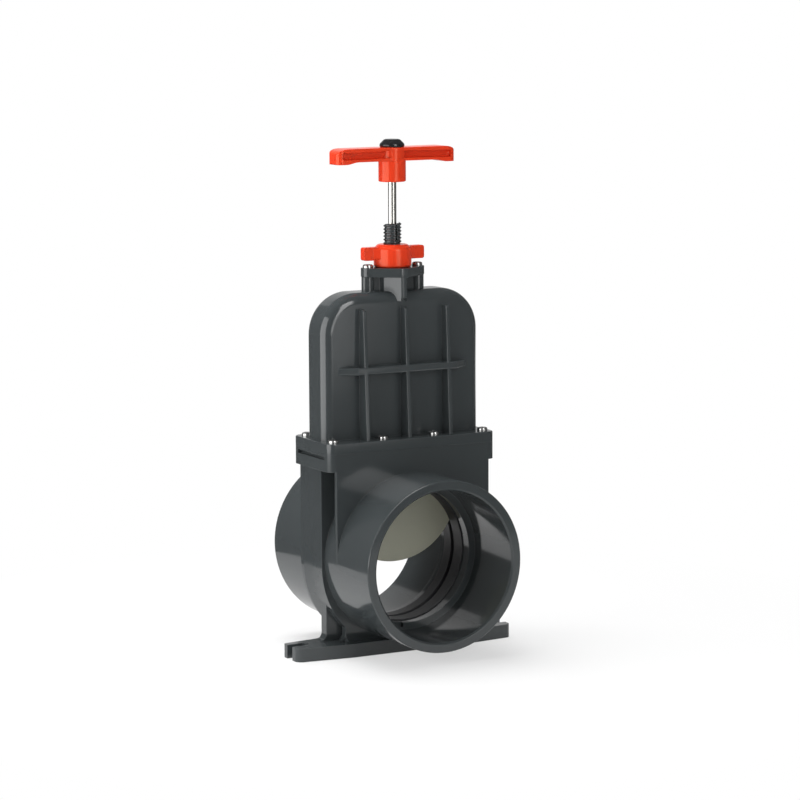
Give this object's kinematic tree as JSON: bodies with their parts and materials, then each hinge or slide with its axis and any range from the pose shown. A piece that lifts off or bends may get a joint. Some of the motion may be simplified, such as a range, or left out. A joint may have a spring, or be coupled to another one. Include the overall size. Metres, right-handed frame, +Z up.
{
  "type": "pvc gate valve",
  "caption": "Bladed plastic gate valve on a slotted foot: two solvent sockets, ribbed bonnet, sliding blade on a steel rod, clamping wing nut and T-handle.",
  "frame": {"origin": "on the floor under the middle of the body: x and y halfway between the socket mouths, z at the underside of the foot", "axes": "+Z up along the lifting rod, +Y along the pipe from the front socket to the rear socket, +X across the pipe along the foot and the handle"},
  "size_m": [0.178, 0.15, 0.3731],
  "materials": {
    "grey_pvc": "semi-gloss moulded PVC-U, dark slate grey",
    "red_plastic": "glossy moulded orange-red plastic",
    "black_plastic": "glossy black plastic",
    "pale_plastic": "smooth pale warm-grey plastic blade",
    "bright_steel": "bright stainless steel",
    "black_rubber": "matt black rubber"
  },
  "bodies": {
    "valve": {"valve_body": "grey_pvc", "bonnet_gasket": "black_rubber", "bonnet": "grey_pvc", "front_seat_seal": "black_rubber", "rear_seat_seal": "black_rubber", "gland_packing": "black_rubber", "gland_flange": "grey_pvc", "flange_screw_1": "bright_steel", "flange_screw_2": "bright_steel", "flange_screw_3": "bright_steel", "flange_screw_4": "bright_steel", "flange_screw_5": "bright_steel", "flange_screw_6": "bright_steel", "flange_screw_7": "bright_steel", "flange_screw_8": "bright_steel", "gland_screw_1": "bright_steel", "gland_screw_2": "bright_steel"},
    "gate": {"gate_blade": "pale_plastic", "rod_clevis": "bright_steel", "clevis_pin": "bright_steel", "lifting_rod": "bright_steel", "tee_handle": "red_plastic", "handle_nut": "bright_steel", "handle_cap": "black_plastic"},
    "wing_nut": {"gland_wing_nut": "red_plastic"}
  },
  "joints": [
    {"name": "gate_slide", "type": "slide", "parent": "valve", "child": "gate", "axis": [0, 0, 1], "range_m": [-0.0443, 0.0585]},
    {"name": "gland_nut_turn", "type": "hinge", "parent": "valve", "child": "wing_nut", "pos_m": [0, 0.0025, 0.288], "axis": [0, 0, 1], "range_deg": [-180, 180]}
  ]
}
